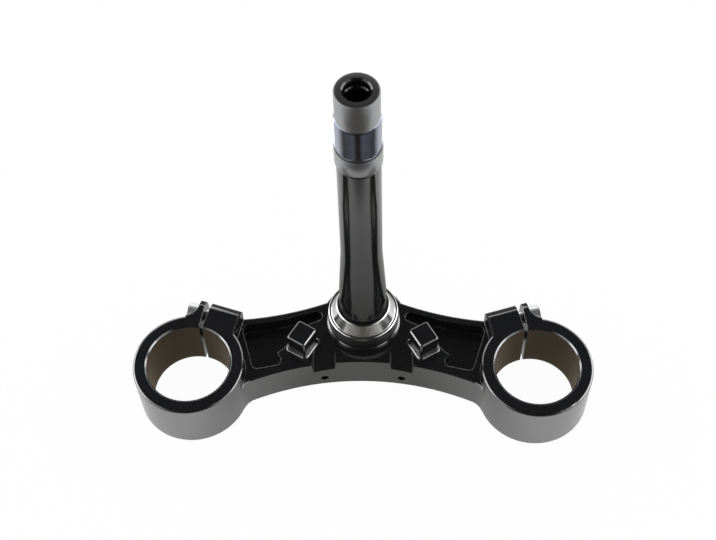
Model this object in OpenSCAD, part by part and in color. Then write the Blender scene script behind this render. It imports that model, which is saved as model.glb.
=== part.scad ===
// Lower triple clamp with steering stem for a motorcycle front fork.
// Millimetres. The stem axis stands on the origin, Z is up and the clamp lies on Z = 0.
// The front of the motorcycle is -Y, and the left half is the -X half.

/* [Fork clamps] */
// Bore that grips each fork tube
fork_bore_d = 53; // [46:0.5:60]
// Distance between the two fork axes
fork_spacing = 220; // [205:1:235]
// Distance of the fork axes in front of the stem axis
fork_offset = 40; // [34:0.5:46]
// Wall of the clamp ring
ring_wall = 8.7; // [6.5:0.1:11]
// Height of the clamp ring
ring_h = 40; // [34:1:50]
// Chamfer on the ring's edges
ring_chamfer = 1; // [0.4:0.1:1.5]
// Rounding of the ring's outer edges
ring_round = 1.8; // [1:0.1:2.5]

/* [Pinch ends] */
// Angle of the slot to the middle plane
slot_angle = 12; // [6:0.5:18]
// Width of the slot at the bore
slot_w = 1.8; // [1.4:0.1:3]
// Width of the slot between the tips
slot_tip_w = 4.6; // [3:0.1:6]
// Distance of the outboard ear's face from the slot's middle
ear_side = 5.6; // [5:0.1:7]
// Distance of the bolt axes from the ring's outside
bolt_out = 5.8; // [5:0.1:8]
// Material behind the bolt axes
ear_end_wall = 8.5; // [7:0.1:10]
// Rounding of the ends as seen from the side
ear_round = 8; // [5:0.5:9]
// Fillet between the ear and the ring
ear_fillet = 10; // [6:0.5:12]
// Distance of the inboard block's side from the slot's middle
block_side = 22.4; // [20:0.1:25]
// Slant of the block's back face
block_slant = 2.8; // [1:0.2:4]
// Chamfer on the ends' upright edges
end_chamfer = 1; // [0.5:0.1:1.5]

/* [Bridge] */
// Height of the bridge
bridge_h = 27; // [24:0.5:30]
// Front face to stem axis in the middle
front_reach = 31; // [29:0.5:34]
// Radius of the hollow front face
front_r = 180; // [150:5:260]
// Radius of the hollow back faces
back_r = 198; // [150:2:260]
// Place of the back face's middle, sideways
back_x = 97.7; // [90:0.5:105]
// Place of the back face's deepest point
back_y = -0.5; // [-4:0.5:3]
// Chamfer on the bridge's long edges
bridge_chamfer = 0.8; // [0.3:0.1:1.5]
// Radius of the corner between the front face and the ring
corner_r = 12; // [6:0.5:16]

/* [Stem boss] */
// Outside radius of the bridge round the stem
hub_r = 28; // [26:0.5:31]
// Wall of the raised face round the stem
boss_wall = 8.6; // [7.5:0.1:10]
// Height of the raised face above the bridge
boss_rise = 2.8; // [1.5:0.1:4]

/* [Arm pockets] */
// Depth of the pocket in each arm
pocket_depth = 10; // [6:0.5:13]
// Radius of the pocket's corners
pocket_r = 3.5; // [2.5:0.1:4.5]
// Depth of the relief under each arm
relief_depth = 6; // [3:0.5:8]
// Radius of the relief's corners
relief_r = 5; // [3:0.5:7]

/* [Steering stops] */
// Length of the stop along its outboard face
stop_l = 14.8; // [12:0.1:17]
// Width of the stop
stop_w = 13.3; // [11:0.1:15]
// Height of the stop above the bridge
stop_h = 16; // [12:0.5:20]
// Middle of the stop, sideways from the stem
stop_x = 38.9; // [36:0.1:41]
// Middle of the stop, forward of the stem
stop_y = 19.4; // [18:0.1:21]
// Turn of the stop
stop_turn = 31; // [24:1:38]
// Radius of the stop's upright corners
stop_corner = 1.5; // [1:0.1:3]
// Fillet round the stop's foot
stop_foot = 2.4; // [1:0.1:2.5]
// Chamfer round the stop's top
stop_chamfer = 0.8; // [0.3:0.1:1.2]

/* [Front holes] */
// Distance between the two threaded front holes
front_hole_spacing = 50; // [44:1:56]
// Core diameter of the front holes
front_hole_d = 5; // [4:0.1:7]
// Height of the front holes
front_hole_z = 8; // [6:0.5:10]
// Depth of the front holes
front_hole_depth = 16; // [12:0.5:18]
// Height of the front face under each scoop
scoop_z = 18; // [16:0.5:21]
// Width of the scoop's floor
scoop_w = 14; // [10:0.5:16]
// Widening of the scoop toward its top
scoop_flare = 3; // [1:0.5:5]

/* [Stem] */
// Height of the stem's top
stem_top = 255; // [225:1:285]
// Diameter of the main tube
tube_d = 25.3; // [24.8:0.1:25.8]
// Diameter of the lower bearing seat
seat_d = 30; // [29:0.1:31]
// Diameter of the threaded part
thread_d = 26; // [25.8:0.1:26.4]
// Diameter of the collar under the thread
collar_d = 27; // [26.6:0.1:28]
// Diameter of the plain top part
top_d = 24.6; // [23.8:0.1:25.2]
// Length of the plain top part
top_l = 20; // [15:0.5:26]
// Length of the thread
thread_l = 24.5; // [20:0.5:30]
// Length of the collar
collar_l = 12.5; // [9:0.5:16]
// Bore through the stem's top
top_bore_d = 13.6; // [11:0.1:16]
// Bore of the hollow tube
tube_bore_d = 18; // [15:0.5:20]
// Height of the cylindrical seat above the race
seat_rise = 16; // [8:1:24]
// Length of the taper above the seat
taper_l = 44; // [20:1:60]
// Depth of the grooves at both ends of the collar
groove = 0.6; // [0.3:0.1:0.8]
// Width of those grooves
groove_w = 1.2; // [0.8:0.1:2]
// Chamfer of the bore at the top
top_chamfer = 1.4; // [0.6:0.1:2]
// Reach of the top bore below the thread
top_bore_rest = 8; // [4:0.5:14]
// Step of the flange under the clamp
flange_step = 3; // [2:0.1:5]
// Thickness of the flange
flange_t = 3.2; // [2.5:0.1:4]

/* [Bearing and seal] */
// Height of the dust seal
seal_h = 7.6; // [6:0.1:9]
// Width of the dust seal from stem to lip
seal_wall = 7.9; // [7:0.1:8.5]
// Height of the bearing's inner race
race_h = 10.5; // [9:0.1:13]
// Wall of the race at its foot
race_foot_wall = 7.4; // [6.5:0.1:8]
// Height of the race's foot
race_foot_h = 3; // [2:0.1:4]
// Wall of the race at its top
race_top_wall = 2.2; // [1.6:0.1:3]
// Width of the rim on the race's foot
race_rim = 1.6; // [1:0.1:2.5]
// Chamfer on the race's edges
race_edge = 0.5; // [0.3:0.1:0.8]
// Depth of the groove round the seal
seal_lip = 1.2; // [0.8:0.1:1.5]

/* [Pinch bolts] */
// Bolt size
bolt_d = 8; // [7:0.5:8.5]
// Length under the head
bolt_l = 25; // [22:1:28]
// Distance of the bolts from the ring's top and bottom
bolt_inset = 9; // [8:0.5:12]
// Head diameter
bolt_head_d = 13; // [12:0.5:14]
// Head height
bolt_head_h = 8; // [6:0.5:9]
// Hexagon socket across its flats
bolt_socket = 6; // [5:0.5:6]

/* [Hidden] */
clear = 0.02;
seal_clear = 0.1;
edge = 0.8;
pocket_steps = 8;
bolt_clear = 0.25;
spot_clear = 0.7;
over = 1;
blend = 0.04;
stop_root = 6;
hole_rest = 1;
$fn = 96;

ring_r = fork_bore_d / 2 + ring_wall;
fork_x = fork_spacing / 2;
boss_z = bridge_h + boss_rise;
race_z = boss_z + seal_h;
seat_z = race_z + race_h;
boss_r = seat_d / 2 + boss_wall;
flange_r = seat_d / 2 + flange_step;
seal_r = seat_d / 2 + seal_wall;
race_foot_r = seat_d / 2 + race_foot_wall;
race_top_r = seat_d / 2 + race_top_wall;
bolt_reach = ring_r + bolt_out;
ear_end = bolt_reach + ear_end_wall;
pocket_z = bridge_h - pocket_depth;
thread_z = stem_top - top_l - thread_l;
collar_z = thread_z - collar_l;
bolt_zs = [bolt_inset, ring_h - bolt_inset];
front_y = -front_reach;
hole_face_y = front_y - front_r + sqrt(pow(front_r, 2) - pow(front_hole_spacing / 2, 2));

// The left fork's place: X to the stem side, Y along the slot to the back
module at_left_fork() {
    translate([-fork_x, -fork_offset, 0])
        rotate([0, 0, -slot_angle])
            children();
}

// The same shape on both sides of the middle plane
module both_sides() {
    children();
    mirror([1, 0, 0])
        children();
}

// A profile led round a polygon: solid inside, with the profile outside each edge and corner
module led_round(points, z0, h) {
    translate([0, 0, z0])
        linear_extrude(h)
            polygon(points);
    count = len(points);
    for (i = [0 : count - 1]) {
        a = points[i];
        b = points[(i + 1) % count];
        run = b - a;
        translate([a[0], a[1], z0])
            rotate_extrude()
                children();
        translate([a[0], a[1], z0])
            rotate([90, 0, atan2(run[1], run[0]) - 90])
                translate([0, 0, -norm(run)])
                    linear_extrude(norm(run))
                        children();
    }
}

// A cylinder with a chamfer at both ends, to be cut away or added
module chamfered_disc(r, h, c) {
    rotate_extrude()
        polygon([[0, 0], [r - c, 0], [r, c], [r, h - c], [r - c, h], [0, h]]);
}

// A cylinder with a rounding at both ends
module rounded_disc(r, h, f) {
    rotate_extrude()
        difference() {
            square([r, h]);
            translate([r - f, h - f])
                outside_corner(f);
            translate([r - f, f])
                mirror([0, 1])
                    outside_corner(f);
        }
}

// What rounds a corner away, from the middle of its rounding
module outside_corner(f) {
    difference() {
        square(f + over);
        circle(r = f);
    }
}

// What a hollow face cuts away, with flared ends that chamfer both of its edges
module flared_cutter(r, h, c) {
    rotate_extrude()
        polygon([[0, -over], [r + c + over, -over], [r, c], [r, h - c],
            [r + c + over, h + over], [0, h + over]]);
}

// Bridge between the rings, hollow at the front and at both sides of the hub
module bridge() {
    difference() {
        translate([-fork_x, -fork_offset - ring_r, 0])
            cube([fork_spacing, fork_offset + ring_r + hub_r, bridge_h]);
        translate([0, front_y - front_r, 0])
            flared_cutter(front_r, bridge_h, bridge_chamfer);
        both_sides() {
            translate([-back_x, back_y + back_r, 0])
                flared_cutter(back_r, bridge_h, bridge_chamfer);
            front_scoop();
        }
    }
    chamfered_disc(hub_r, bridge_h, bridge_chamfer);
}

// Corner that leads the front face into the left ring
module front_corner() {
    ring_c = [-fork_x, -fork_offset];
    face_c = [0, front_y - front_r];
    span = ring_c - face_c;
    to_ring = ring_r + corner_r - blend;
    to_face = front_r - corner_r + blend;
    along = (to_face * to_face - to_ring * to_ring + span * span) / (2 * norm(span));
    aside = sqrt(to_face * to_face - along * along);
    run = span / norm(span);
    corner_c = face_c + along * run + aside * [run[1], -run[0]];
    difference() {
        linear_extrude(bridge_h)
            polygon([ring_c, corner_c, face_c + (corner_c - face_c) * (front_r + ring_wall) / to_face]);
        translate([corner_c[0], corner_c[1], 0])
            flared_cutter(corner_r, bridge_h, bridge_chamfer);
    }
}

// Outline of one pinch end in the fork's own frame
module pinch_outline() {
    fillet_x = -ear_side - ear_fillet;
    fillet_y = sqrt(pow(ring_r + ear_fillet, 2) - pow(fillet_x, 2));
    block_end = ear_end - block_slant;
    block_root = sqrt(pow(ring_r, 2) - pow(block_side, 2)) - over;
    difference() {
        polygon([[0, 0], [fillet_x, fillet_y], [-ear_side, fillet_y],
            [-ear_side, ear_end - end_chamfer], [end_chamfer - ear_side, ear_end],
            [block_side - end_chamfer, block_end], [block_side, block_end - end_chamfer],
            [block_side, block_root]]);
        translate([fillet_x, fillet_y])
            circle(r = ear_fillet);
    }
}

// What rounds the back end's upper edge, as seen from the side
module end_rounding() {
    width = ear_side + block_side;
    translate([-ear_side, ear_end, ring_h - ear_round])
        rotate([90, 0, 90 - atan2(block_slant, width)])
            translate([blend - ear_round, blend, -ear_round])
                linear_extrude(width + 2 * ear_round)
                    outside_corner(ear_round);
}

// What chamfers the block's inboard upper edge
module block_edge() {
    side = end_chamfer * sqrt(2);
    start = sqrt(pow(ring_r, 2) - pow(block_side, 2));
    translate([block_side, start, ring_h])
        rotate([0, 45, 0])
            translate([-side / 2, 0, -side / 2])
                cube([side, ear_end, side]);
}

// Slot between the ear and the block, wider between the tips
module pinch_slot() {
    bore_y = fork_bore_d / 2 - ring_chamfer;
    translate([0, 0, -over])
        linear_extrude(ring_h + 2 * over)
            polygon([[-slot_w / 2, 0], [slot_w / 2, 0], [slot_w / 2, bore_y],
                [slot_tip_w / 2, ear_end + over], [-slot_tip_w / 2, ear_end + over],
                [-slot_w / 2, bore_y]]);
}

// The pinch end with its rounded back edges
module pinch_end() {
    difference() {
        linear_extrude(ring_h)
            pinch_outline();
        top_and_bottom() {
            end_rounding();
            block_edge();
        }
    }
}

// The same cut at the ring's top and bottom
module top_and_bottom() {
    children();
    translate([0, 0, ring_h])
        mirror([0, 0, 1])
            children();
}

// Clearance and thread holes for the two pinch bolts, with their spot faces
module pinch_holes() {
    for (z = bolt_zs)
        translate([-ear_side, bolt_reach, z])
            rotate([0, 90, 0]) {
                cylinder(d = bolt_d + 2 * bolt_clear, h = ear_side);
                cylinder(d = bolt_d + 2 * clear, h = bolt_l + hole_rest);
                translate([0, 0, -ring_r])
                    cylinder(d = bolt_head_d + 2 * spot_clear, h = ring_r);
            }
}

// Unit vector square to a run, on its right-hand side
function side_of(run) = [run[1], -run[0]] / norm(run);

// Outline that a round cutter leaves when its middle follows a path, counter-clockwise
function cut_outline(path, r, steps) = [
    for (i = [0 : len(path) - 1])
        let (n = len(path), here = path[i],
            before = side_of(here - path[(i + n - 1) % n]),
            after = side_of(path[(i + 1) % n] - here),
            turn = before[0] * after[1] - before[1] * after[0],
            start = atan2(before[1], before[0]),
            sweep = acos(min(1, before * after)))
        each turn < 0
            ? [here + r * (before + after) / (1 + before * after)]
            : [for (k = [0 : steps])
                here + r * [cos(start + sweep * k / steps), sin(start + sweep * k / steps)]]
];

// Pocket in the top of the left arm, as the path of the cutter's middle
pocket_path = [[-67.8, -33], [-56, -30.5], [-60, -24.6], [-53.9, -19.4],
    [-44.5, -3.8], [-30.6, 2.7], [-53.6, -4.1], [-75.2, -7.9]];

module arm_pocket() {
    translate([0, 0, pocket_z])
        linear_extrude(pocket_depth + over)
            polygon(cut_outline(pocket_path, pocket_r, pocket_steps));
}

// Relief under the left arm, as the path of the cutter's middle
relief_path = [[-66, -33], [-37, -24], [-37, -4], [-66, -8]];

module arm_relief() {
    translate([0, 0, -over])
        linear_extrude(relief_depth + over)
            polygon(cut_outline(relief_path, relief_r, pocket_steps));
}

// Side of the stop: foot fillet, upright wall and top chamfer
module stop_profile() {
    difference() {
        polygon([[0, -stop_root], [stop_corner + stop_foot, -stop_root],
            [stop_corner + stop_foot, stop_foot], [stop_corner, stop_foot],
            [stop_corner, stop_h - stop_chamfer], [stop_corner - stop_chamfer, stop_h], [0, stop_h]]);
        translate([stop_corner + stop_foot, stop_foot])
            circle(r = stop_foot);
    }
}

// Steering stop that stands on the left arm
module steering_stop() {
    half_l = stop_l / 2 - stop_corner;
    half_w = stop_w / 2 - stop_corner;
    translate([-stop_x, -stop_y, bridge_h])
        rotate([0, 0, -stop_turn])
            union() {
                led_round([[-half_w, -half_l], [half_w, -half_l], [half_w, half_l],
                    [-half_w, half_l]], 0, stop_h)
                    stop_profile();
                translate([-half_w, -half_l, -stop_root])
                    cube([2 * half_w, 2 * half_l, stop_root + over]);
            }
}

// Scoop at 45 degrees that clears the top edge over a threaded hole
module front_scoop() {
    reach = 3 * (bridge_h - scoop_z);
    translate([-front_hole_spacing / 2, hole_face_y, scoop_z])
        rotate([45, 0, 0])
            translate([0, reach, 0])
                rotate([90, 0, 0])
                    linear_extrude(2 * reach)
                        polygon([[-scoop_w / 2, 0], [scoop_w / 2, 0],
                            [scoop_w / 2 + scoop_flare, reach],
                            [-scoop_w / 2 - scoop_flare, reach]]);
}

// Threaded hole in the front face
module front_hole() {
    translate([-front_hole_spacing / 2, hole_face_y - 2 * over, front_hole_z])
        rotate([-90, 0, 0])
            cylinder(d = front_hole_d, h = front_hole_depth + 2 * over);
}

// The clamp: two rings, bridge, hub, pinch ends and stops in one machined piece
module clamp_body() {
    color("#1b1e21")
        difference() {
            union() {
                bridge();
                chamfered_disc(boss_r, boss_z, bridge_chamfer);
                both_sides() {
                    at_left_fork() {
                        rounded_disc(ring_r, ring_h, ring_round);
                        pinch_end();
                    }
                    front_corner();
                    steering_stop();
                }
            }
            both_sides() {
                arm_pocket();
                arm_relief();
                front_hole();
                at_left_fork() {
                    flared_cutter(fork_bore_d / 2, ring_h, ring_chamfer);
                    pinch_slot();
                    pinch_holes();
                }
            }
            cylinder(d = seat_d + 2 * clear, h = 2 * boss_z, center = true);
            translate([0, 0, -over])
                cylinder(r = flange_r + bolt_clear, h = flange_t + over);
        }
}

// Hollow stem, turned from one bar and pressed into the clamp from below
module steering_stem() {
    taper_z = seat_z + seat_rise;
    bore_end_z = thread_z - top_bore_rest;
    color("#2c2f31")
        rotate_extrude()
            polygon([
                [tube_bore_d / 2, 0], [flange_r - edge, 0], [flange_r, edge],
                [flange_r, flange_t], [seat_d / 2, flange_t], [seat_d / 2, taper_z],
                [tube_d / 2, taper_z + taper_l], [tube_d / 2, collar_z - groove_w - groove],
                [tube_d / 2 - groove, collar_z - groove_w], [tube_d / 2 - groove, collar_z],
                [collar_d / 2 - edge, collar_z], [collar_d / 2, collar_z + edge],
                [collar_d / 2, thread_z - edge], [collar_d / 2 - edge, thread_z],
                [thread_d / 2 - groove, thread_z], [thread_d / 2 - groove, thread_z + groove_w],
                [thread_d / 2, thread_z + groove_w + groove],
                [thread_d / 2, stem_top - top_l - edge], [top_d / 2, stem_top - top_l],
                [top_d / 2, stem_top - edge], [top_d / 2 - edge, stem_top],
                [top_bore_d / 2 + top_chamfer, stem_top], [top_bore_d / 2, stem_top - top_chamfer],
                [top_bore_d / 2, bore_end_z],
                [tube_bore_d / 2, bore_end_z - (tube_bore_d - top_bore_d) / 2]]);
}

// Inner race of the lower tapered bearing, pressed on the stem
module bearing_inner_race() {
    bore_r = seat_d / 2 + clear;
    color("#c9ccce")
        translate([0, 0, race_z])
            rotate_extrude()
                polygon([[bore_r, race_edge], [bore_r + race_edge, 0],
                    [race_foot_r - race_edge, 0], [race_foot_r, race_edge],
                    [race_foot_r, race_foot_h - race_edge], [race_foot_r - race_edge, race_foot_h],
                    [race_foot_r - race_rim, race_foot_h],
                    [race_top_r, race_h - race_edge], [race_top_r - race_edge, race_h],
                    [bore_r + race_edge, race_h], [bore_r, race_h - race_edge]]);
}

// Rubber dust seal between the clamp and the bearing
module dust_seal() {
    bore_r = seat_d / 2 + seal_clear;
    neck_r = seal_r - seal_lip;
    neck_z = seal_h / 2;
    color("#101112")
        translate([0, 0, boss_z])
            rotate_extrude()
                polygon([[bore_r, 0], [neck_r, 0], [seal_r, seal_lip],
                    [seal_r, neck_z - seal_lip], [neck_r, neck_z - seal_lip / 3],
                    [neck_r, neck_z + seal_lip / 3], [seal_r, neck_z + seal_lip],
                    [seal_r, seal_h - seal_lip], [neck_r, seal_h], [bore_r, seal_h]]);
}

// Socket head screw along +X from the underside of its head
module pinch_bolt() {
    color("#c4c7c9")
        rotate([0, 90, 0])
            difference() {
                rotate_extrude()
                    polygon([[0, -bolt_head_h], [bolt_head_d / 2 - edge, -bolt_head_h],
                        [bolt_head_d / 2, edge - bolt_head_h], [bolt_head_d / 2, 0],
                        [bolt_d / 2, 0], [bolt_d / 2, bolt_l - edge], [bolt_d / 2 - edge, bolt_l],
                        [0, bolt_l]]);
                translate([0, 0, -bolt_head_h - over])
                    linear_extrude(bolt_head_h / 2 + over)
                        intersection_for (turn = [0, 60, 120])
                            rotate([0, 0, turn])
                                square([bolt_socket, 2 * bolt_head_d], center = true);
            }
}

module left_pinch_bolt(z) {
    at_left_fork()
        translate([-ear_side, bolt_reach, z])
            pinch_bolt();
}

module left_upper_pinch_bolt() {
    left_pinch_bolt(bolt_zs[1]);
}

module left_lower_pinch_bolt() {
    left_pinch_bolt(bolt_zs[0]);
}

module right_upper_pinch_bolt() {
    mirror([1, 0, 0])
        left_pinch_bolt(bolt_zs[1]);
}

module right_lower_pinch_bolt() {
    mirror([1, 0, 0])
        left_pinch_bolt(bolt_zs[0]);
}

clamp_body();
steering_stem();
bearing_inner_race();
dust_seal();
left_upper_pinch_bolt();
left_lower_pinch_bolt();
right_upper_pinch_bolt();
right_lower_pinch_bolt();
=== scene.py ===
"""Lower triple clamp with steering stem: finishes, threaded stem, light and camera. Metres throughout."""
from math import cos, pi, radians, sin

import bmesh
import bpy
from mathutils import Matrix, Vector


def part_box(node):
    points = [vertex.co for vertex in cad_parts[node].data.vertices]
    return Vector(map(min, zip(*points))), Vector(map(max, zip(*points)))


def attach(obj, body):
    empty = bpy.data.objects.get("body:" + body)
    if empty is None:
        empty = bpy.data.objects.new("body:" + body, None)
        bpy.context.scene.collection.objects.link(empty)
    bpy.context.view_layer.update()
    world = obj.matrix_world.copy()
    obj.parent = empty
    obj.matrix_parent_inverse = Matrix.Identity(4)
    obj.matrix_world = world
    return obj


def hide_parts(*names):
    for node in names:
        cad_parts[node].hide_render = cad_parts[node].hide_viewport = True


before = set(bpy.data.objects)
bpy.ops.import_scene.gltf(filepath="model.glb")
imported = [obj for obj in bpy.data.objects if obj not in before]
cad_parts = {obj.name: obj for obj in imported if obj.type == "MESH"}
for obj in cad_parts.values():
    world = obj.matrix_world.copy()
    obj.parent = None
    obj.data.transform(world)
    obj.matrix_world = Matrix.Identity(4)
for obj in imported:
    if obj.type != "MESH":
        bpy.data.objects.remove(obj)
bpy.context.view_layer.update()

MM = 0.001
WHOLE_TURN = 2 * pi

# Camera, solved from the photograph's outlines
PHOTO_WIDTH_PX = 716
FOCAL_PX = 1310.5
SENSOR = 36.0
CAMERA_PLACE = Vector((18.93, -440.28, 763.16)) * MM
CAMERA_YAW = radians(-2.788)
CAMERA_PITCH = radians(-56.897)
CAMERA_ROLL = radians(-1.992)

# Places on the clamp that its finishes follow
FORK_BORE_R = 26.5 * MM
FORK_X = 110 * MM
FORK_Y = -40 * MM
BORE_SLACK = 0.5 * MM
END_FROM_MIDDLE = 78 * MM
END_FROM_BORE = 10 * MM
END_BEHIND_FORK = 20 * MM
BORE_FACING = 0.95
SLANT_LOW, SLANT_HIGH = 0.3, 0.95

# The stem, from its foot to its top
STEM_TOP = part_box("steering_stem")[1].z
STEM_STEPS = 128
HEIGHT_SLACK = 0.05 * MM
EDGE = 0.8 * MM
EDGE_MIDDLE = 0.24 * MM
FLANGE_R = 18 * MM
FLANGE_TOP = 3.2 * MM
SEAT_R = 15 * MM
TUBE_R = 12.65 * MM
TAPER = [(SEAT_R, 63.9 * MM), (14.85 * MM, 66.5 * MM), (12.95 * MM, 104 * MM), (TUBE_R, 109.9 * MM)]
GROOVE_DEPTH = 0.6 * MM
GROOVE_WIDTH = 1.2 * MM
COLLAR_R = 13.5 * MM
COLLAR_FOOT = 198 * MM
COLLAR_TOP = 210.5 * MM
CORE_R = 12.35 * MM
CORE_TOP = 234.6 * MM
PLAIN_R = 12.3 * MM
PLAIN_FOOT = 235 * MM
MOUTH_R = 7.4 * MM
MOUTH_CHAMFER = 0.9 * MM
MOUTH_DEPTH = 5.2 * MM
TOP_BORE_R = 6.7 * MM
TOP_BORE_FOOT = 202.6 * MM
TUBE_BORE_R = 9 * MM

# The stem's thread
THREAD_R = 13 * MM
THREAD_DEPTH = 0.62 * MM
THREAD_PITCH = 1 * MM
THREAD_FOOT = 212.1 * MM
THREAD_TURNS = 22
THREAD_STEPS = 64
RIDGE_SINK = 0.1 * MM
CREST_BAND = 0.1 * MM
HALF_ROOT = 0.46 * THREAD_PITCH
HALF_CREST = 0.04 * THREAD_PITCH

# Relief and edges in the finishes
CLOUD_SCALE = 55.0
GRAIN_DEPTH = 0.2 * MM
RING_DEPTH = 0.1 * MM
SOFT_EDGE = 0.5 * MM
EDGE_SAMPLES = 6

# The room: white paper and boards, a brown front end and a dark ceiling
WHITE = (1.0, 1.0, 1.0)
BLACK = (0.0, 0.0, 0.0)
FLOOR_REACH = 4.0
FLOOR_WHITE = (0.9, 0.9, 0.9)
ROOM_BROWN = (0.1, 0.093, 0.083)
FRONT_WALL = (0.02, 0.018, 0.016)
CEILING = (0.015, 0.015, 0.016)
# Painted shade on the paper as mirrors see it, under the stem and inside the fork bores
SHADE = (0.36, 0.355, 0.345)
SHADE_CORE = 0.05
SHADE_END = 0.14
BORE_SHADE_EDGE = 4 * MM
PAPER_END = 0.13
ROOM_START = 0.17
ROOM_NARROW, ROOM_WIDE = 0.25, 0.5
WALL_TOP = 0.3
CEILING_START = 0.5
SIDE_WALL_LEAN = 0.5
FRONT_WALL_LEAN = 0.6
FRONT_WALL_START, FRONT_WALL_END = 0.1, 0.5
WORLD_LIGHT = 0.6
CAMERA_SHARE = 0.97
MIRROR_SHARE = 0.8

# The lamps
SIDE_BOX_X, SIDE_BOX_Y, SIDE_BOX_Z = 1.2, 0.2, 0.42
SIDE_BOX_AIM_X, SIDE_BOX_AIM_Z = 0.05, 0.05
SIDE_BOX_SIZE = (1.3, 0.9)
SIDE_BOX_POWER = 9
BACK_BOX_PLACE = (0, 1.6, 0.8)
BACK_BOX_SIZE = (2.6, 0.8)
BACK_BOX_POWER = 7


# Shader nodes


def new_material(name):
    """A material with an empty node tree, and its tree."""
    material = bpy.data.materials.new(name)
    material.use_nodes = True
    tree = material.node_tree
    tree.nodes.clear()
    return material, tree


def set_inputs(node, values):
    """Puts values on a node's sockets, named with underscores for spaces."""
    for name, value in values.items():
        node.inputs[name.replace("_", " ")].default_value = value


def add_node(tree, kind, **values):
    """A node with values on its sockets."""
    node = tree.nodes.new(kind)
    set_inputs(node, values)
    return node


def put_group(tree, group, **values):
    """A group node with its own values."""
    node = tree.nodes.new("ShaderNodeGroup")
    node.node_tree = group
    set_inputs(node, values)
    return node


def new_group(name, inputs, outputs):
    """A shader node group with named sockets, given as (name, kind, default) and (name, kind)."""
    group = bpy.data.node_groups.new(name, "ShaderNodeTree")
    for label, kind, default in inputs:
        socket = group.interface.new_socket(label, in_out="INPUT", socket_type=kind)
        socket.default_value = default
    for label, kind in outputs:
        group.interface.new_socket(label, in_out="OUTPUT", socket_type=kind)
    return group, group.nodes.new("NodeGroupInput"), group.nodes.new("NodeGroupOutput")


def math_node(tree, operation, *values):
    """A Math node of one or more values, each a socket or a number."""
    node = tree.nodes.new("ShaderNodeMath")
    node.operation = operation
    for socket, value in zip(node.inputs, values):
        if isinstance(value, (int, float)):
            socket.default_value = value
        else:
            tree.links.new(value, socket)
    return node.outputs[0]


def length_of(tree, vector):
    """The length of a vector."""
    node = tree.nodes.new("ShaderNodeVectorMath")
    node.operation = "LENGTH"
    tree.links.new(vector, node.inputs[0])
    return node.outputs["Value"]


def split_place(tree, name):
    """A texture coordinate, and the sockets of its X, Y and Z."""
    place = tree.nodes.new("ShaderNodeTexCoord").outputs[name]
    split = tree.nodes.new("ShaderNodeSeparateXYZ")
    tree.links.new(place, split.inputs[0])
    return place, split.outputs


def ramp_node(tree, factor, low, low_color, high, high_color):
    """A color ramp between two places."""
    node = tree.nodes.new("ShaderNodeValToRGB")
    for element, place, color in zip(node.color_ramp.elements, (low, high), (low_color, high_color)):
        element.position = place
        element.color = (*color, 1)
    tree.links.new(factor, node.inputs["Fac"])
    return node.outputs["Color"]


def mix_colors(tree, factor, first, second):
    """A color mix whose ends are sockets or fixed colors."""
    node = tree.nodes.new("ShaderNodeMix")
    node.data_type = "RGBA"
    tree.links.new(factor, node.inputs["Factor"])
    for name, value in (("A", first), ("B", second)):
        if isinstance(value, tuple):
            node.inputs[name].default_value = (*value, 1)
        else:
            tree.links.new(value, node.inputs[name])
    return node.outputs["Result"]


def mix_shaders(tree, share, first, second, output):
    """A mix of two shaders, joined to the tree's output."""
    mix = tree.nodes.new("ShaderNodeMixShader")
    links = tree.links
    links.new(share, mix.inputs["Fac"])
    links.new(first.outputs[0], mix.inputs[1])
    links.new(second.outputs[0], mix.inputs[2])
    links.new(mix.outputs[0], tree.nodes.new(output).inputs["Surface"])


def mirror_rays(tree, path):
    """1 for the rays that metal and glass send."""
    return math_node(tree, "MAXIMUM", path.outputs["Is Glossy Ray"], path.outputs["Is Transmission Ray"])


# Node groups that the finishes share


def surface_tone_group():
    """Soft cloudy variation of colour and roughness, with a fine blasted grain."""
    group, given, result = new_group(
        "surface_tone",
        [("Dark", "NodeSocketColor", (0.01, 0.01, 0.01, 1)),
         ("Light", "NodeSocketColor", (0.02, 0.02, 0.02, 1)),
         ("Roughness", "NodeSocketFloat", 0.3),
         ("Spread", "NodeSocketFloat", 0.06),
         ("Grain Scale", "NodeSocketFloat", 2500.0)],
        [("Color", "NodeSocketColor"), ("Roughness", "NodeSocketFloat"), ("Height", "NodeSocketFloat")])
    links = group.links
    place = group.nodes.new("ShaderNodeTexCoord").outputs["Object"]
    cloud = add_node(group, "ShaderNodeTexNoise", Scale=CLOUD_SCALE, Detail=4.0)
    grain = add_node(group, "ShaderNodeTexNoise", Detail=2.0)
    links.new(place, cloud.inputs["Vector"])
    links.new(place, grain.inputs["Vector"])
    links.new(given.outputs["Grain Scale"], grain.inputs["Scale"])
    color = mix_colors(group, cloud.outputs["Fac"], given.outputs["Dark"], given.outputs["Light"])
    shifted = math_node(group, "SUBTRACT", cloud.outputs["Fac"], 0.5)
    roughness = math_node(group, "MULTIPLY_ADD", shifted, given.outputs["Spread"],
                          given.outputs["Roughness"])
    links.new(color, result.inputs["Color"])
    links.new(roughness, result.inputs["Roughness"])
    links.new(grain.outputs["Fac"], result.inputs["Height"])
    return group


def turned_lines_group():
    """Fine rings that a lathe leaves round the Z axis, as a height."""
    group, given, result = new_group(
        "turned_lines", [("Scale", "NodeSocketFloat", 900.0)], [("Height", "NodeSocketFloat")])
    links = group.links
    axes = split_place(group, "Object")[1]
    lines = group.nodes.new("ShaderNodeTexNoise")
    lines.noise_dimensions = "1D"
    lines.inputs["Detail"].default_value = 2.0
    links.new(axes["Z"], lines.inputs["W"])
    links.new(given.outputs["Scale"], lines.inputs["Scale"])
    links.new(lines.outputs["Fac"], result.inputs["Height"])
    return group


# Finishes


surface_tone = surface_tone_group()
turned_lines = turned_lines_group()


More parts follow.
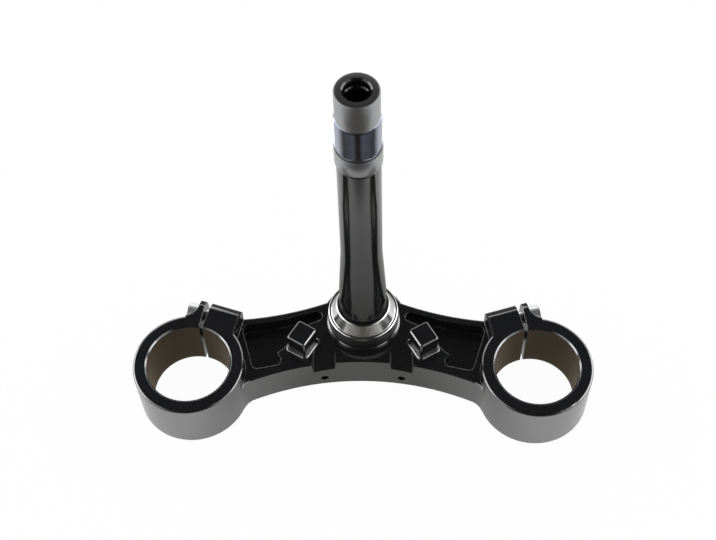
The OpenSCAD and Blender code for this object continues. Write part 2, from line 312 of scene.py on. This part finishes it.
def tone(dark, light, roughness, spread):
    """The surface tone group's values for one finish."""
    return dict(Dark=(*dark, 1), Light=(*light, 1), Roughness=roughness, Spread=spread)


def bump_node(tree, height, strength, depth):
    """A Bump node over a height."""
    relief = add_node(tree, "ShaderNodeBump", Strength=strength, Distance=depth)
    tree.links.new(height, relief.inputs["Height"])
    return relief


def toned_material(name, values, bump, edge_radius=0, rings=0, **shading):
    """A finish of the surface tone group, with softened edges or a lathe's rings where they are given."""
    material, tree = new_material(name)
    links = tree.links
    surface = put_group(tree, surface_tone, **values)
    relief = bump_node(tree, surface.outputs["Height"], bump, GRAIN_DEPTH)
    normal = relief.outputs["Normal"]
    if edge_radius:
        rounding = add_node(tree, "ShaderNodeBevel", Radius=edge_radius)
        rounding.samples = EDGE_SAMPLES
        links.new(rounding.outputs["Normal"], relief.inputs["Normal"])
    if rings:
        turned = put_group(tree, turned_lines, Scale=rings)
        ringed = bump_node(tree, turned.outputs["Height"], bump, RING_DEPTH)
        links.new(normal, ringed.inputs["Normal"])
        normal = ringed.outputs["Normal"]
    shader = add_node(tree, "ShaderNodeBsdfPrincipled", **shading)
    links.new(surface.outputs["Color"], shader.inputs["Base Color"])
    links.new(surface.outputs["Roughness"], shader.inputs["Roughness"])
    links.new(normal, shader.inputs["Normal"])
    links.new(shader.outputs["BSDF"], tree.nodes.new("ShaderNodeOutputMaterial").inputs["Surface"])
    return material


black_anodised = toned_material(
    "black_anodised", tone((0.004, 0.0043, 0.005), (0.0075, 0.008, 0.0092), 0.17, 0.06),
    bump=0.04, edge_radius=SOFT_EDGE, IOR=2.75)
# Fork bores: metal whose brown tint is a painted reflection of a warm brown room
bore_painted_reflection = toned_material(
    "bore_painted_reflection", tone((0.078, 0.064, 0.046), (0.12, 0.099, 0.073), 0.3, 0.1),
    bump=0.1, rings=1400, Metallic=1.0, Specular_Tint=(1, 0.9, 0.78, 1))
matt_end = toned_material(
    "matt_end", tone((0.005, 0.0053, 0.006), (0.009, 0.0095, 0.0105), 0.55, 0.1),
    bump=0.1, IOR=1.25)
dark_stem = toned_material(
    "dark_stem", tone((0.006, 0.0065, 0.0065), (0.01, 0.0105, 0.0105), 0.11, 0.04),
    bump=0.03, rings=1100, IOR=1.66)
stem_collar = toned_material(
    "stem_collar", tone((0.3, 0.304, 0.31), (0.38, 0.385, 0.39), 0.34, 0.08),
    bump=0.08, rings=1500, Metallic=0.95)
stem_face = toned_material(
    "stem_face", tone((0.018, 0.018, 0.019), (0.036, 0.036, 0.037), 0.42, 0.1),
    bump=0.1, rings=1500, IOR=1.5)
stem_thread = toned_material(
    "stem_thread", tone((0.38, 0.4, 0.46), (0.45, 0.47, 0.54), 0.12, 0.04),
    bump=0.02, Metallic=1.0)
ground_steel = toned_material(
    "ground_steel", tone((0.74, 0.74, 0.74), (0.86, 0.86, 0.85), 0.18, 0.08),
    bump=0.06, rings=1300, Metallic=1.0)
seal_rubber = toned_material(
    "seal_rubber", tone((0.008, 0.008, 0.0085), (0.014, 0.014, 0.015), 0.32, 0.1),
    bump=0.1)
plated_bolt = toned_material(
    "plated_bolt", tone((0.68, 0.685, 0.69), (0.78, 0.785, 0.79), 0.4, 0.12),
    bump=0.08, Metallic=1.0)

FINISHES = {
    "clamp_body": black_anodised,
    "steering_stem": dark_stem,
    "bearing_inner_race": ground_steel,
    "dust_seal": seal_rubber,
}


def paint(obj, material):
    """Gives a whole piece one material."""
    obj.data.materials.clear()
    obj.data.materials.append(material)


for name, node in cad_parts.items():
    paint(node, FINISHES.get(name, plated_bolt))


# The clamp's cuts: fork bores, turned after the rest is milled, whose warm brown tint is a painted
# reflection, and matt chamfers on the pinch blocks


def finish_cuts(body):
    """Gives the fork bores their finish with a painted warm reflection, and the upper end chamfers of the
    pinch blocks their own finish.
    """
    bore_slot, end_slot = 1, 2
    body.data.materials.append(bore_painted_reflection)
    body.data.materials.append(matt_end)
    for face in body.data.polygons:
        side = -1 if face.center.x < 0 else 1
        reach = Vector((face.center.x - side * FORK_X, face.center.y - FORK_Y))
        inward = -reach.normalized().dot(face.normal.xy)
        if reach.length < FORK_BORE_R + BORE_SLACK and inward > BORE_FACING:
            face.material_index = bore_slot
        elif (abs(face.center.x) > END_FROM_MIDDLE and reach.length > FORK_BORE_R + END_FROM_BORE
              and reach.y > END_BEHIND_FORK and SLANT_LOW < face.normal.z < SLANT_HIGH):
            face.material_index = end_slot


finish_cuts(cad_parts["clamp_body"])


# The stem, turned to the frame's profile, with its real thread


def lathe(shape, profile, steps):
    """Spins a closed profile of (radius, height) round the Z axis."""
    ring = [shape.verts.new((radius, 0, height)) for radius, height in profile]
    edges = [shape.edges.new((a, b)) for a, b in zip(ring, ring[1:] + ring[:1])]
    bmesh.ops.spin(shape, geom=ring + edges, cent=(0, 0, 0), axis=(0, 0, 1), dvec=(0, 0, 0),
                   angle=WHOLE_TURN, steps=steps, use_merge=True, use_duplicate=False)


def screw_ridge(shape):
    """The thread's ridge, a helix with a 60 degree profile, closed at both ends."""
    root = THREAD_R - THREAD_DEPTH - RIDGE_SINK
    corners = [(root, -HALF_ROOT), (THREAD_R, -HALF_CREST), (THREAD_R, HALF_CREST), (root, HALF_ROOT)]
    ring = [shape.verts.new((radius, 0, THREAD_FOOT + height)) for radius, height in corners]
    edges = [shape.edges.new((a, b)) for a, b in zip(ring, ring[1:] + ring[:1])]
    made = bmesh.ops.spin(shape, geom=ring + edges, cent=(0, 0, 0), axis=(0, 0, 1),
                          dvec=(0, 0, THREAD_PITCH / THREAD_STEPS), angle=WHOLE_TURN * THREAD_TURNS,
                          steps=THREAD_STEPS * THREAD_TURNS, use_merge=False, use_duplicate=False)
    last = [piece for piece in made["geom_last"] if isinstance(piece, bmesh.types.BMEdge)]
    for rim in (edges, last):
        bmesh.ops.edgeloop_fill(shape, edges=rim)


def soft_foot(radius, height):
    """A rounded edge, from a face that looks down to the wall above it."""
    return [(radius - EDGE, height), (radius - EDGE_MIDDLE, height + EDGE_MIDDLE), (radius, height + EDGE)]


def soft_rim(radius, height):
    """A rounded edge, from a wall to the face above it."""
    return [(radius, height - EDGE), (radius - EDGE_MIDDLE, height - EDGE_MIDDLE), (radius - EDGE, height)]


def stem_profile():
    """Half of the stem's section: flange, seat, taper, tube, collar, core, plain top and bores."""
    neck_r = TUBE_R - GROOVE_DEPTH
    neck_foot = COLLAR_FOOT - GROOVE_WIDTH
    mouth_foot = STEM_TOP - MOUTH_DEPTH
    return [
        (TUBE_BORE_R, 0), *soft_foot(FLANGE_R, 0), (FLANGE_R, FLANGE_TOP), (SEAT_R, FLANGE_TOP), *TAPER,
        (TUBE_R, neck_foot - GROOVE_DEPTH), (neck_r, neck_foot), (neck_r, COLLAR_FOOT),
        *soft_foot(COLLAR_R, COLLAR_FOOT), *soft_rim(COLLAR_R, COLLAR_TOP),
        (CORE_R, COLLAR_TOP), (CORE_R, CORE_TOP), (PLAIN_R, PLAIN_FOOT), *soft_rim(PLAIN_R, STEM_TOP),
        (MOUTH_R + MOUTH_CHAMFER, STEM_TOP), (MOUTH_R, STEM_TOP - MOUTH_CHAMFER), (MOUTH_R, mouth_foot),
        (TOP_BORE_R, mouth_foot - (MOUTH_R - TOP_BORE_R)), (TOP_BORE_R, TOP_BORE_FOOT),
        (TUBE_BORE_R, TOP_BORE_FOOT - (TUBE_BORE_R - TOP_BORE_R))]


def stem_finish(center):
    """The finish of a face of the stem, by its middle: the thread's flanks are bare, and its crests take
    the dark finish as painted shade.
    """
    reach = center.xy.length
    wall_middle = (TUBE_BORE_R + TUBE_R) / 2
    if center.z > STEM_TOP - HEIGHT_SLACK:
        return stem_face
    if reach < wall_middle or center.z < COLLAR_FOOT - HEIGHT_SLACK:
        return dark_stem
    if not COLLAR_TOP + HEIGHT_SLACK < center.z < PLAIN_FOOT - HEIGHT_SLACK:
        return stem_collar
    # Crests in the dark finish: painted shade that dims the thread's middle
    return stem_thread if reach < THREAD_R - CREST_BAND else dark_stem


def mesh_object(name, shape, materials, sharp_from=35):
    """An object with smooth faces, and sharp edges from an angle in degrees."""
    bmesh.ops.recalc_face_normals(shape, faces=shape.faces)
    mesh = bpy.data.meshes.new(name)
    shape.to_mesh(mesh)
    shape.free()
    for material in materials:
        mesh.materials.append(material)
    mesh.shade_smooth()
    mesh.set_sharp_from_angle(angle=radians(sharp_from))
    obj = bpy.data.objects.new(name, mesh)
    bpy.context.collection.objects.link(obj)
    return obj


def steering_stem():
    """The turned stem, which stands for the frame's plain one."""
    finishes = [dark_stem, stem_thread, stem_collar, stem_face]
    shape = bmesh.new()
    lathe(shape, stem_profile(), STEM_STEPS)
    screw_ridge(shape)
    for face in shape.faces:
        face.material_index = finishes.index(stem_finish(face.calc_center_median()))
    stem = mesh_object("turned_steering_stem", shape, finishes)
    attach(stem, "root")
    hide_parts("steering_stem")


steering_stem()


# Floor, light and camera


def paper_shade(tree, place, axes, aside):
    """The paper's colour in a mirror: a painted soft shade under the stem and inside the fork bores."""
    under_stem = ramp_node(tree, length_of(tree, place), SHADE_CORE, SHADE, SHADE_END, WHITE)
    from_bore = tree.nodes.new("ShaderNodeCombineXYZ")
    tree.links.new(math_node(tree, "SUBTRACT", aside, FORK_X), from_bore.inputs["X"])
    tree.links.new(math_node(tree, "SUBTRACT", axes["Y"], FORK_Y), from_bore.inputs["Y"])
    open_paper = ramp_node(tree, length_of(tree, from_bore.outputs[0]), FORK_BORE_R, BLACK,
                           FORK_BORE_R + BORE_SHADE_EDGE, WHITE)
    return mix_colors(tree, open_paper, SHADE, under_stem)


def lay_floor():
    """A pale floor that keeps a soft shadow, with the brown end of the room in front of it."""
    mesh = bpy.data.meshes.new("studio_floor")
    shape = bmesh.new()
    bmesh.ops.create_grid(shape, x_segments=1, y_segments=1, size=FLOOR_REACH)
    shape.to_mesh(mesh)
    shape.free()
    floor = bpy.data.objects.new("studio_floor", mesh)
    bpy.context.collection.objects.link(floor)
    material, tree = new_material("studio_floor")
    links = tree.links
    path = tree.nodes.new("ShaderNodeLightPath")
    place, axes = split_place(tree, "Object")
    aside = math_node(tree, "ABSOLUTE", axes["X"])
    toward_front = math_node(tree, "MULTIPLY", axes["Y"], -1.0)
    past_paper = ramp_node(tree, toward_front, PAPER_END, BLACK, ROOM_START, WHITE)
    in_width = ramp_node(tree, aside, ROOM_NARROW, WHITE, ROOM_WIDE, BLACK)
    in_room = math_node(tree, "MULTIPLY", past_paper, in_width)
    paper = mix_colors(tree, in_room, paper_shade(tree, place, axes, aside), ROOM_BROWN)
    mirrored = mirror_rays(tree, path)
    lit = add_node(tree, "ShaderNodeBsdfDiffuse")
    links.new(mix_colors(tree, mirrored, FLOOR_WHITE, paper), lit.inputs["Color"])
    white = add_node(tree, "ShaderNodeEmission", Strength=1.0)
    links.new(mix_colors(tree, mirrored, WHITE, paper), white.inputs["Color"])
    share = math_node(tree, "MAXIMUM",
                      math_node(tree, "MULTIPLY", path.outputs["Is Camera Ray"], CAMERA_SHARE),
                      math_node(tree, "MULTIPLY", mirrored, MIRROR_SHARE))
    mix_shaders(tree, share, lit, white, "ShaderNodeOutputMaterial")
    paint(floor, material)


def light_world():
    """An even light, and for mirrors a room of white boards, a dark ceiling and a dark front wall."""
    world = bpy.data.worlds.new("studio")
    bpy.context.scene.world = world
    world.use_nodes = True
    tree = world.node_tree
    tree.nodes.clear()
    axes = split_place(tree, "Generated")[1]
    aside = math_node(tree, "ABSOLUTE", axes["X"])
    height = math_node(tree, "SUBTRACT", axes["Z"], math_node(tree, "MULTIPLY", aside, SIDE_WALL_LEAN))
    walls = ramp_node(tree, height, WALL_TOP, WHITE, CEILING_START, CEILING)
    toward_front = math_node(tree, "SUBTRACT", math_node(tree, "MULTIPLY", axes["Y"], -1.0),
                             math_node(tree, "MULTIPLY", aside, FRONT_WALL_LEAN))
    front = ramp_node(tree, toward_front, FRONT_WALL_START, BLACK, FRONT_WALL_END, WHITE)
    room = mix_colors(tree, front, walls, FRONT_WALL)
    path = tree.nodes.new("ShaderNodeLightPath")
    mirrored = mirror_rays(tree, path)
    seen = add_node(tree, "ShaderNodeBackground", Strength=1.0)
    tree.links.new(mix_colors(tree, mirrored, WHITE, room), seen.inputs["Color"])
    lit = add_node(tree, "ShaderNodeBackground", Color=(*WHITE, 1), Strength=WORLD_LIGHT)
    share = math_node(tree, "MAXIMUM", path.outputs["Is Camera Ray"], mirrored)
    mix_shaders(tree, share, lit, seen, "ShaderNodeOutputWorld")


def soft_box(name, place, target, size, power):
    """A rectangular area lamp aimed at a point."""
    data = bpy.data.lights.new(name, "AREA")
    data.shape = "RECTANGLE"
    data.size, data.size_y = size
    data.energy = power
    lamp = bpy.data.objects.new(name, data)
    bpy.context.collection.objects.link(lamp)
    lamp.location = place
    lamp.rotation_euler = (Vector(target) - lamp.location).to_track_quat("-Z", "Y").to_euler()


def place_camera():
    """The photograph's own view."""
    data = bpy.data.cameras.new("photo_view")
    data.sensor_width = SENSOR
    data.lens = FOCAL_PX / PHOTO_WIDTH_PX * SENSOR
    camera = bpy.data.objects.new("photo_view", data)
    bpy.context.collection.objects.link(camera)
    forward = Vector((sin(CAMERA_YAW) * cos(CAMERA_PITCH), cos(CAMERA_YAW) * cos(CAMERA_PITCH),
                      sin(CAMERA_PITCH)))
    level = forward.cross(Vector((0, 0, 1))).normalized()
    upright = level.cross(forward)
    right = cos(CAMERA_ROLL) * level + sin(CAMERA_ROLL) * upright
    up = cos(CAMERA_ROLL) * upright - sin(CAMERA_ROLL) * level
    turn = Matrix((right, up, -forward)).transposed()
    camera.matrix_world = Matrix.Translation(CAMERA_PLACE) @ turn.to_4x4()
    bpy.context.scene.camera = camera


lay_floor()
light_world()
place_camera()
for name, side in (("left_soft_box", -1), ("right_soft_box", 1)):
    soft_box(name, (side * SIDE_BOX_X, SIDE_BOX_Y, SIDE_BOX_Z),
             (side * SIDE_BOX_AIM_X, 0, SIDE_BOX_AIM_Z), SIDE_BOX_SIZE, SIDE_BOX_POWER)
soft_box("back_soft_box", BACK_BOX_PLACE, (0, 0, 0), BACK_BOX_SIZE, BACK_BOX_POWER)
bpy.context.scene.view_settings.view_transform = "Standard"
